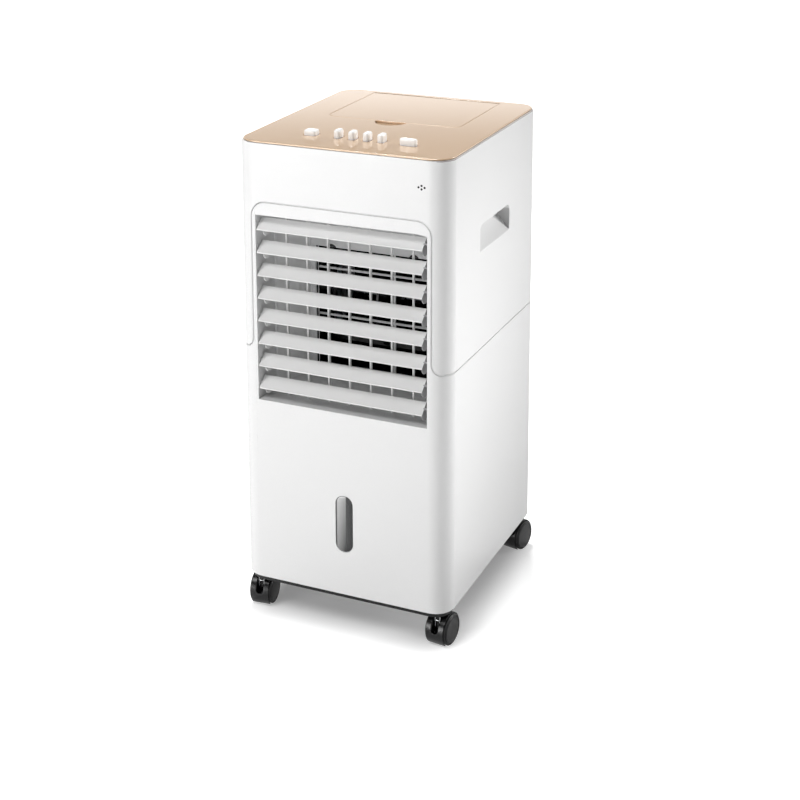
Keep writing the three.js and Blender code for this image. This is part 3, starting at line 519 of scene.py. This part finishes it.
# ---------------------------------------------------------------- level window: a domed lens in a narrow recess, with painted shade: darker towards the bottom and right, dark over its right part and at its left rim
def level_lens_painted_shade():
    m, nt, b, tc = _new("level_lens_painted_shade")
    N, L = nt.nodes, nt.links
    xyz = N.new("ShaderNodeSeparateXYZ")
    L.new(tc.outputs["Object"], xyz.inputs[0])

    def span(sock, lo, hi, a, c):
        r = N.new("ShaderNodeMapRange")
        r.inputs["From Min"].default_value, r.inputs["From Max"].default_value = lo, hi
        r.inputs["To Min"].default_value, r.inputs["To Max"].default_value = a, c
        L.new(sock, r.inputs["Value"])
        return r.outputs[0]

    # painted shade: lighter towards the top and left, dark over the right part and along the left rim
    down = span(xyz.outputs["Z"], ZB + 0.060, ZB + 0.130, 0.0, 0.30)
    across = span(xyz.outputs["X"], -0.006, 0.005, 0.27, 0.02)
    painted_right_shade = span(xyz.outputs["X"], 0.0051, 0.0059, 0.0, 1.0)
    rim = span(xyz.outputs["X"], -0.0074, -0.0062, 1.0, 0.0)
    tone_, dark, veil = N.new("ShaderNodeMath"), N.new("ShaderNodeMath"), N.new("ShaderNodeMix")
    tone_.operation, dark.operation = "ADD", "MAXIMUM"
    L.new(down, tone_.inputs[0])
    L.new(across, tone_.inputs[1])
    L.new(painted_right_shade, dark.inputs[0])
    L.new(rim, dark.inputs[1])
    veil.data_type = "RGBA"
    veil.inputs["B"].default_value = (0.022, 0.022, 0.023, 1)
    L.new(dark.outputs[0], veil.inputs["Factor"])
    comb = N.new("ShaderNodeCombineColor")
    for k in range(3):
        L.new(tone_.outputs[0], comb.inputs[k])
    L.new(comb.outputs[0], veil.inputs["A"])
    L.new(veil.outputs["Result"], b.inputs["Base Color"])
    nz = N.new("ShaderNodeTexNoise")
    nz.inputs["Scale"].default_value = 60
    L.new(tc.outputs["Object"], nz.inputs["Vector"])
    L.new(span(nz.outputs["Fac"], 0, 1, 0.13, 0.19), b.inputs["Roughness"])
    b.inputs["Coat Weight"].default_value, b.inputs["Coat Roughness"].default_value = 0.5, 0.05
    return m


bm = bmesh.new()
outline = [(7.35, 0, -157.2), (11.2, 0.0, -157.4), (11.2, 0.0, -160.3), (11.2, 0.55, -160.85), (11.2, 1.8, -161.15), (11.2, 4.5, -161.45), (11.2, 7.5, -161.55)]
rings = []
for r, inset, y in [(11.2, 0, -157.1)] + outline[2:]:
    rings.append([P(x, y, z) for x, z in rr(-8.2 + inset, 14.2 - inset, 58.5 + inset, 132.7 - inset, r - inset, 10)])
loft(bm, rings)
flange = [[P(x, y, z) for x, z in rr(-10.5, 16.5, 56, 135.2, 13.5, 10)] for y in (-155.9, -157.1)]
loft(bm, flange)
finish_piece(bm, "level_lens", "level_window", material=level_lens_painted_shade(), sharp=60)

bm = cad_mesh("indicator_lens")
for x, z in ((3.8, 0), (-3.8, 0), (0, 2.1), (0, -2.1)):
    spin(bm, [(-157.5, 0), (-157.5, 0.95), (-161.32, 0.95), (-161.33, 1.35), (-161.42, 1.25), (-161.46, 0)], 20,
         lambda a, r, t, x=x, z=z: P(105.9 + x + r * math.cos(t), a, 537.8 + z + r * math.sin(t)))
finish_piece(bm, "lamp_lens", "indicator_lens", sharp=35)

# ---------------------------------------------------------------- casters
for k in ("front_left", "front_right", "rear_left", "rear_right"):
    j = JOINT[f"roll_{k}"]
    c = Vector(j["pos_m"])
    ax = Vector(j["axis"]).normalized()
    back = Vector((-ax.y, ax.x, 0))
    bm = cad_mesh(f"caster_yoke_{k}")
    bevel(bm, lambda a, b: True, 0.35, 2, least=50)
    # steel round the stem, seen in the hood's slot: two thin bright prongs that stand in for the highlights along the
    # dark stem's sides, a painted highlight, and a ring
    hood_faces = set(bm.faces)

    def at(u, v, w):
        return c + ax * (u / 1000) + back * (v / 1000) + Vector((0, 0, w / 1000))

    for u in (-3.3, 3.3):
        loft(bm, [[at(u + 0.7 * math.cos(t), -8 - 3.6 + 0.7 * math.sin(t), w) for t in [2 * math.pi * i / 10 for i in range(10)]] for w in (6.2, 19.5)])
    ring_ = []
    for i in range(24):
        t = 2 * math.pi * i / 24
        ring_.append([at((5.0 + 0.62 * math.cos(q)) * math.cos(t), -8 + (5.0 + 0.62 * math.cos(q)) * math.sin(t), 14.6 + 0.75 * math.sin(q)) for q in [2 * math.pi * m_ / 8 for m_ in range(8)]])
    vs_ = [[bm.verts.new(p_) for p_ in r_] for r_ in ring_]
    for a_, b_ in zip(vs_, vs_[1:] + vs_[:1]):
        for i in range(8):
            bm.faces.new((a_[i], a_[(i + 1) % 8], b_[(i + 1) % 8], b_[i]))
    for f in bm.faces:
        f.material_index = 0 if f in hood_faces else 1
    finish_piece(bm, f"caster_hood_{k}", f"caster_yoke_{k}", sharp=35, extra=(M["bright_steel"],))
    side = [(12.45, 19.1), (12.55, 19.4), (13.0, 19.5), (13.5, 19.2), (13.9, 18.5), (13.95, 18.1), (12.9, 17.8), (12.9, 17.0), (14.2, 16.7), (14.45, 16.2), (14.3, 15.7), (14.35, 15.3), (14.85, 15.0), (14.95, 14.6), (14.75, 14.1), (14.8, 13.6), (15.2, 10.5), (15.45, 6), (15.55, 0)]
    prof = [(-a, r) for a, r in reversed(side)] + [(-12.3, 19.3), (-11.8, 19.5), (-5.8, 19.5), (-5.2, 18.9), (-5.2, 2.5), (5.2, 2.5), (5.2, 18.9), (5.8, 19.5), (11.8, 19.5), (12.3, 19.3)] + side
    bm = bmesh.new()
    spin(bm, prof, 72, lambda a, r, t: c + ax * (a / 1000) + back * (r * math.cos(t) / 1000) + Vector((0, 0, r * math.sin(t) / 1000)))
    finish_piece(bm, f"caster_twin_wheel_{k}", f"caster_wheels_{k}", sharp=35)

# ---------------------------------------------------------------- rear: filter net and corrugated pad
def perforated(name, node, x0, x1, y0, y1, z0, z1, edge, pitch, wire, material):
    def cuts(a, b):
        n = int((b - a - 2 * edge) / pitch)
        s = a + ((b - a) - n * pitch) / 2
        v = [a]
        for i in range(n):
            v += [s + i * pitch + wire / 2, s + (i + 1) * pitch - wire / 2]
        return v + [b]
    xs, zs = cuts(x0, x1), cuts(z0, z1)
    hole = lambda i, j: i % 2 == 1 and j % 2 == 1
    bm = bmesh.new()
    f = [[bm.verts.new(P(x, y0, z)) for z in zs] for x in xs]
    g = [[bm.verts.new(P(x, y1, z)) for z in zs] for x in xs]
    for i in range(len(xs) - 1):
        for j in range(len(zs) - 1):
            if hole(i, j):
                for (a, b), (c, d) in (((i, j), (i + 1, j)), ((i + 1, j), (i + 1, j + 1)), ((i + 1, j + 1), (i, j + 1)), ((i, j + 1), (i, j))):
                    bm.faces.new((f[a][b], f[c][d], g[c][d], g[a][b]))
            else:
                bm.faces.new((f[i][j], f[i + 1][j], f[i + 1][j + 1], f[i][j + 1]))
                bm.faces.new((g[i][j], g[i][j + 1], g[i + 1][j + 1], g[i + 1][j]))
    nx, nz = len(xs) - 1, len(zs) - 1
    for i in range(nx):
        bm.faces.new((f[i][0], g[i][0], g[i + 1][0], f[i + 1][0]))
        bm.faces.new((f[i][nz], f[i + 1][nz], g[i + 1][nz], g[i][nz]))
    for j in range(nz):
        bm.faces.new((f[0][j], f[0][j + 1], g[0][j + 1], g[0][j]))
        bm.faces.new((f[nx][j], g[nx][j], g[nx][j + 1], f[nx][j + 1]))
    return finish_piece(bm, name, node, material=material, weighted=False, sharp=30)


lo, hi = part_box("dust_filter")
(x0, y0, z0), (x1, y1, z1) = mm(lo), mm(hi)
perforated("filter_net", "dust_filter", x0, x1, y0 + 1.0, y1 - 1.2, z0, z1, 4, 4.4, 1.3, M["filter_mesh"])

lo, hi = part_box("cooling_pad")
(x0, y0, z0), (x1, y1, z1) = mm(lo), mm(hi)
bm = bmesh.new()
layers, amp, th, wave = 26, 3.3, 0.55, 14.0
pitch = (x1 - x0 - 2 * amp - th) / (layers - 1)
nz, ny = 92, 6
for k in range(layers):
    xc = x0 + amp + th / 2 + k * pitch
    lean = 0.9 if k % 2 else -0.9
    fr, bk = [], []
    for a in range(nz + 1):
        z = z0 + (z1 - z0) * a / nz
        rf, rb = [], []
        for b in range(ny + 1):
            y = y0 + (y1 - y0) * b / ny
            x = xc + amp * math.sin(2 * math.pi * (z + lean * y) / wave)
            rf.append(bm.verts.new(P(x - th / 2, y, z)))
            rb.append(bm.verts.new(P(x + th / 2, y, z)))
        fr.append(rf)
        bk.append(rb)
    for a in range(nz):
        for b in range(ny):
            bm.faces.new((fr[a][b], fr[a + 1][b], fr[a + 1][b + 1], fr[a][b + 1]))
            bm.faces.new((bk[a][b], bk[a][b + 1], bk[a + 1][b + 1], bk[a + 1][b]))
        bm.faces.new((fr[a][0], bk[a][0], bk[a + 1][0], fr[a + 1][0]))
        bm.faces.new((fr[a][ny], fr[a + 1][ny], bk[a + 1][ny], bk[a][ny]))
    for b in range(ny):
        bm.faces.new((fr[0][b], fr[0][b + 1], bk[0][b + 1], bk[0][b]))
        bm.faces.new((fr[nz][b], bk[nz][b], bk[nz][b + 1], fr[nz][b + 1]))
finish_piece(bm, "corrugated_pad", "cooling_pad", weighted=False, sharp=60)

bm = cad_mesh("rear_grille")
bevel(bm, lambda a, b: a[1] > 161 and b[1] > 161, 0.4, 2)
finish_piece(bm, "grille_door", "rear_grille")

# ---------------------------------------------------------------- cord with its plug
bm = bmesh.new()
cord = [(-70, 154.5, 120), (-70, 164, 120), (-70, 170, 114), (-70, 171.5, 104), (-70, 171.5, 80), (-64, 171.5, 62), (-50, 171.5, 54), (-36, 171.5, 62), (-28, 171.5, 84),
        (-21, 171.5, 120), (-20.5, 171.5, 148), (-23, 171.5, 159.5), (-30, 171.5, 164), (-38, 171.5, 160), (-43.5, 172.5, 145), (-45, 175, 128)]
tube(bm, catmull(cord, 150), 0.0032, 16)
finish_piece(bm, "mains_cord", "power_cord", weighted=False, sharp=60)
bm = bmesh.new()
spin(bm, [(161.7, 0), (161.7, 5.4), (162.4, 5.6), (164.2, 5.6), (164.4, 5.0), (164.9, 5.0), (165.1, 5.3), (166, 4.6), (166.2, 3.3), (166.2, 0)], 32,
     lambda a, r, t: P(-70 + r * math.cos(t), a, 120 + r * math.sin(t)))
o = finish_piece(bm, "cord_gland", None, body=BODY["power_cord"], material=M["black_cord"], weighted=False, sharp=40)
bm = bmesh.new()
prof = [(96, 0), (96, 11.2), (96.6, 12.1), (97.8, 12.4), (104, 12.4), (110, 12.0), (114, 10.4), (117, 7.6), (118.5, 5.6)]
for z in (119.5, 121.5, 123.5, 125.5):
    prof += [(z, 5.3), (z + 0.3, 4.6), (z + 0.9, 4.6), (z + 1.2, 5.1)]
prof += [(128.2, 4.6), (129.2, 3.4), (129.2, 0)]
spin(bm, prof, 48, lambda a, r, t: P(-45 + r * math.cos(t), 175 + r * math.sin(t), a))
o = finish_piece(bm, "plug_body", None, body=BODY["power_cord"], material=M["black_cord"], weighted=False, sharp=40)
bm = bmesh.new()
for dx in (-5.5, 5.5):
    spin(bm, [(80, 0), (80, 1.5), (80.8, 2.2), (96.4, 2.2), (96.4, 0)], 20, lambda a, r, t, dx=dx: P(-45 + dx + r * math.cos(t), 175 + r * math.sin(t), a))
o = finish_piece(bm, "plug_pins", None, body=BODY["power_cord"], material=M["bright_steel"], weighted=False, sharp=40)

for n in ("drain_plug", "cord_hook", "fan_motor", "blower_scroll", "blower_wheel", "fill_chute", "water_distributor", "base_plate", "water_tank", "swing_motor"):
    bm = cad_mesh(n)
    if n in ("drain_plug", "cord_hook"):
        bevel(bm, lambda a, b: True, 0.35, 2, least=50)
    finish_piece(bm, n + "_part", n, sharp=35)

# ---------------------------------------------------------------- studio
bm = bmesh.new()
S = 14.0
FLOOR_PAINTED_GLOW, FLOOR_PAINTED_SEEN = (0.235, 0.375), (0.0, 0.6)
vs = [bm.verts.new(v) for v in ((-S, -S, 0), (S, -S, 0), (S, S, 0), (-S, S, 0))]
bm.faces.new(vs)
me = bpy.data.meshes.new("studio_floor")
bm.to_mesh(me)
bm.free()
floor = bpy.data.objects.new("studio_floor", me)
bpy.context.scene.collection.objects.link(floor)
m, nt, b, tc = _new("pale_floor")
N, L = nt.nodes, nt.links
out = next(n for n in N if n.type == "OUTPUT_MATERIAL")
b.inputs["Roughness"].default_value = 0.22
b.inputs["Specular IOR Level"].default_value = 0.25
nz_ = N.new("ShaderNodeTexNoise")
nz_.inputs["Scale"].default_value = 3
L.new(tc.outputs["Object"], nz_.inputs["Vector"])
mx = N.new("ShaderNodeMix")
mx.data_type = "RGBA"
mx.inputs["A"].default_value, mx.inputs["B"].default_value = (0.80, 0.80, 0.80, 1), (0.82, 0.82, 0.82, 1)
L.new(nz_.outputs["Fac"], mx.inputs["Factor"])
L.new(mx.outputs["Result"], b.inputs["Base Color"])
# the floor's emission rises with distance from the object: painted light away from it, so the floor round the object
# stays darker as painted shade
sep = N.new("ShaderNodeVectorMath")
sep.operation = "LENGTH"
L.new(tc.outputs["Object"], sep.inputs[0])
# distance from the footprint, inside which the floor is left darker as a painted shadow: length(max(|p - c| - half, 0))
mv, ab, sb, mxv, foot = (N.new("ShaderNodeVectorMath") for _ in range(5))
mv.operation, ab.operation, sb.operation, mxv.operation, foot.operation = "SUBTRACT", "ABSOLUTE", "SUBTRACT", "MAXIMUM", "LENGTH"
mv.inputs[1].default_value = (0, -0.012, 0)
sb.inputs[1].default_value = (0.098, 0.118, 0)
mxv.inputs[1].default_value = (0, 0, 0)
L.new(tc.outputs["Object"], mv.inputs[0])
for a_, b_ in ((mv, ab), (ab, sb), (sb, mxv), (mxv, foot)):
    L.new(a_.outputs[0], b_.inputs[0])


def ramp_to(name, source, lo, hi, a, b_):
    r = N.new("ShaderNodeMapRange")
    r.name, r.interpolation_type = name, "SMOOTHSTEP"
    r.inputs["From Min"].default_value, r.inputs["From Max"].default_value = lo, hi
    r.inputs["To Min"].default_value, r.inputs["To Max"].default_value = a, b_
    L.new(source.outputs["Value"], r.inputs["Value"])
    return r


painted_glow = ramp_to("painted_glow_all_rays", sep, 0.24, 0.70, *FLOOR_PAINTED_GLOW)
# camera rays alone see extra emission outside the footprint: painted light that leaves the footprint as a painted
# shadow
seen = ramp_to("painted_light_camera_only", foot, 0.012, 0.075, *FLOOR_PAINTED_SEEN)
flp, mul, plus = N.new("ShaderNodeLightPath"), N.new("ShaderNodeMath"), N.new("ShaderNodeMath")
mul.operation, plus.operation = "MULTIPLY", "ADD"
L.new(flp.outputs["Is Camera Ray"], mul.inputs[0])
L.new(seen.outputs[0], mul.inputs[1])
L.new(painted_glow.outputs[0], plus.inputs[0])
L.new(mul.outputs[0], plus.inputs[1])
em = N.new("ShaderNodeEmission")
em.inputs["Color"].default_value = (1, 1, 1, 1)
L.new(plus.outputs[0], em.inputs["Strength"])
add = N.new("ShaderNodeAddShader")
L.new(b.outputs[0], add.inputs[0])
L.new(em.outputs[0], add.inputs[1])
L.new(add.outputs[0], out.inputs[0])
me.materials.append(m)

AMBIENT, HORIZON = 0.0, (1.65, 0.0)
world = bpy.data.worlds.new("studio")
bpy.context.scene.world = world
world.use_nodes = True
nt = world.node_tree
nt.nodes.clear()
WN, WL = nt.nodes, nt.links
out = WN.new("ShaderNodeOutputWorld")
lp = WN.new("ShaderNodeLightPath")
wtc = WN.new("ShaderNodeTexCoord")
wxyz = WN.new("ShaderNodeSeparateXYZ")
WL.new(wtc.outputs["Generated"], wxyz.inputs[0])
band = WN.new("ShaderNodeMapRange")          # the bright foot of the backdrop, seen in glossy surfaces
band.name, band.interpolation_type = "gloss_band", "SMOOTHSTEP"
band.inputs["From Min"].default_value, band.inputs["From Max"].default_value = 0.203, 0.243
band.inputs["To Min"].default_value, band.inputs["To Max"].default_value = HORIZON
WL.new(wxyz.outputs["Z"], band.inputs["Value"])
amb, gl, cam_bg = (WN.new("ShaderNodeBackground") for _ in range(3))
mix_g, mix_c = WN.new("ShaderNodeMixShader"), WN.new("ShaderNodeMixShader")
amb.name = "ambient"
amb.inputs["Color"].default_value, amb.inputs["Strength"].default_value = (1, 1, 1, 1), AMBIENT
gl.inputs["Color"].default_value = (1, 1, 1, 1)
WL.new(band.outputs[0], gl.inputs["Strength"])
cam_bg.inputs["Color"].default_value, cam_bg.inputs["Strength"].default_value = (1, 1, 1, 1), 1.0
WL.new(lp.outputs["Is Glossy Ray"], mix_g.inputs[0])
WL.new(amb.outputs[0], mix_g.inputs[1])
WL.new(gl.outputs[0], mix_g.inputs[2])
WL.new(lp.outputs["Is Camera Ray"], mix_c.inputs[0])
WL.new(mix_g.outputs[0], mix_c.inputs[1])
WL.new(cam_bg.outputs[0], mix_c.inputs[2])
WL.new(mix_c.outputs[0], out.inputs[0])


def softbox(name, azimuth, elevation, distance, size, watts, target=(0, 0, 0.33)):
    """azimuth 0 stands in front of the object, 90 to its right"""
    a, e = math.radians(azimuth), math.radians(elevation)
    d = Vector((math.sin(a) * math.cos(e), -math.cos(a) * math.cos(e), math.sin(e)))
    l = bpy.data.lights.new(name, "AREA")
    l.shape = "RECTANGLE"
    l.size, l.size_y = size
    l.energy = watts
    o = bpy.data.objects.new(name, l)
    bpy.context.scene.collection.objects.link(o)
    o.location = Vector(target) + d * distance
    o.rotation_euler = (-d).to_track_quat("-Z", "Y").to_euler()
    return o


def spot(name, azimuth, elevation, distance, watts, cone, soft, aim):
    a, e = math.radians(azimuth), math.radians(elevation)
    l = bpy.data.lights.new(name, "SPOT")
    l.energy, l.spot_size, l.spot_blend, l.shadow_soft_size = watts, math.radians(cone), 1.0, soft
    o = bpy.data.objects.new(name, l)
    bpy.context.scene.collection.objects.link(o)
    o.location = Vector(aim) + Vector((math.sin(a) * math.cos(e), -math.cos(a) * math.cos(e), math.sin(e))) * distance
    o.rotation_euler = (Vector(aim) - o.location).to_track_quat("-Z", "Y").to_euler()
    return o


softbox("key", -30, 5, 2.8, (1.2, 1.0), 24)
softbox("key_high", -20, 50, 2.8, (1.2, 1.0), 32)
softbox("plate_light", -150, 62, 2.8, (0.7, 0.7), 64)
spot("side", 125, 12, 2.6, 120, 30, 0.35, (0.14, -0.25, 0.38))
spot("side_upper", 135, 20, 2.6, 146, 16, 0.2, (0.14, -0.19, 0.45))
spot("side_low", 125, 0, 2.6, 62, 12, 0.2, (0.14, -0.20, 0.14))

# ---------------------------------------------------------------- camera at the photograph's angle
cam = bpy.data.cameras.new("camera")
co = bpy.data.objects.new("camera", cam)
bpy.context.scene.collection.objects.link(co)
CAM_AT = Vector((0.8145, -1.8878 + CY, 1.1016 - 0.048 + ZB))
YAW, PITCH, ROLL = 0.4376, -0.2059, -0.009
fwd = Vector((-math.sin(YAW) * math.cos(PITCH), math.cos(YAW) * math.cos(PITCH), math.sin(PITCH)))
right = Vector((math.cos(YAW), math.sin(YAW), 0))
up = right.cross(fwd)
rot = Matrix((right, up, -fwd)).transposed() @ Matrix.Rotation(ROLL, 3, "Z")
co.location = CAM_AT
co.rotation_euler = rot.to_euler()
cam.sensor_width = 36
cam.lens = 1668.79 / 800 * 36
cam.clip_start, cam.clip_end = 0.05, 50
SHIFT = (0.07135, -0.39834)
for k, path in enumerate(("shift_x", "shift_y")):     # the shifted lens belongs to this standpoint only
    d = cam.driver_add(path).driver
    d.type = "SCRIPTED"
    for axis in "XYZ":
        v = d.variables.new()
        v.name, v.type = axis.lower(), "TRANSFORMS"
        v.targets[0].id, v.targets[0].transform_type, v.targets[0].transform_space = co, "LOC_" + axis, "WORLD_SPACE"
    d.expression = f"{SHIFT[k]} if abs(x - {CAM_AT.x:.4f}) + abs(y - {CAM_AT.y:.4f}) + abs(z - {CAM_AT.z:.4f}) < 0.01 else 0.0"
bpy.context.scene.camera = co
bpy.context.scene.view_settings.view_transform = "Standard"
bpy.context.scene.view_settings.look = "None"
